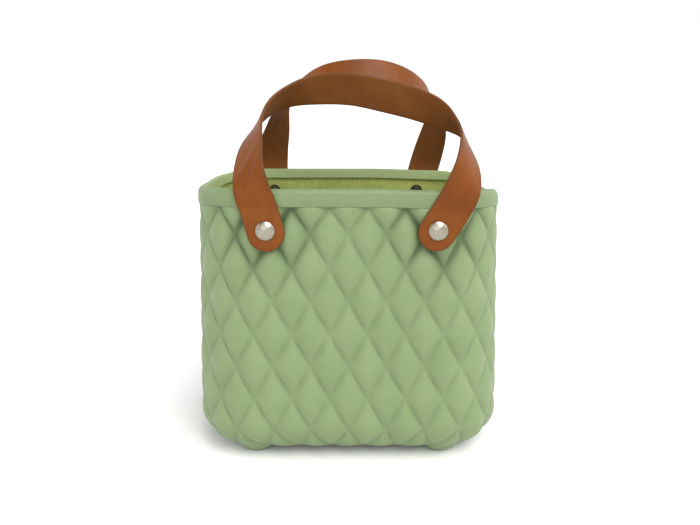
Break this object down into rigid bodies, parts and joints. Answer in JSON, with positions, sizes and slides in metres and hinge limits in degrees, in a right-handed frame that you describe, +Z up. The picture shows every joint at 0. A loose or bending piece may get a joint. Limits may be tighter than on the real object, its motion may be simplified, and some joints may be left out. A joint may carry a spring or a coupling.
{
  "type": "fruit picking bag",
  "caption": "Small moulded hand tote with a diamond-quilted body, rolled rim, felt-like liner and riveted leather strap handles that fold down outside.",
  "frame": {"origin": "on the floor under the middle of the body", "axes": "+Z up, +X to the bag's right as seen from the front, the front face and front handle towards -Y"},
  "size_m": [0.2554, 0.1698, 0.3323],
  "materials": {
    "moulded_body": "matte moulded sage green",
    "rim_trim": "satin sage green",
    "liner_felt": "short-napped yellow green",
    "strap_leather": "smooth tan, waxed edges",
    "rivet_nickel": "polished nickel",
    "washer_dark": "blackened"
  },
  "bodies": {
    "bag": {"outer_shell": "moulded_body", "inner_liner": "liner_felt", "rim_band": "rim_trim", "front_strap_left_end": "strap_leather", "front_strap_right_end": "strap_leather", "rear_strap_left_end": "strap_leather", "rear_strap_right_end": "strap_leather", "front_left_rivet": "rivet_nickel", "front_left_washer": "washer_dark", "front_left_rivet_tail": "rivet_nickel", "front_right_rivet": "rivet_nickel", "front_right_washer": "washer_dark", "front_right_rivet_tail": "rivet_nickel", "rear_left_rivet": "rivet_nickel", "rear_left_washer": "washer_dark", "rear_left_rivet_tail": "rivet_nickel", "rear_right_rivet": "rivet_nickel", "rear_right_washer": "washer_dark", "rear_right_rivet_tail": "rivet_nickel"},
    "front_handle": {"front_strap_loop": "strap_leather"},
    "rear_handle": {"rear_strap_loop": "strap_leather"}
  },
  "joints": [
    {"name": "front_handle_fold", "type": "hinge", "parent": "bag", "child": "front_handle", "pos_m": [0, -0.0827, 0.209], "axis": [1, 0, 0], "range_deg": [0, 168]},
    {"name": "rear_handle_fold", "type": "hinge", "parent": "bag", "child": "rear_handle", "pos_m": [0, 0.0827, 0.221], "axis": [-1, 0, 0], "range_deg": [0, 168]}
  ]
}
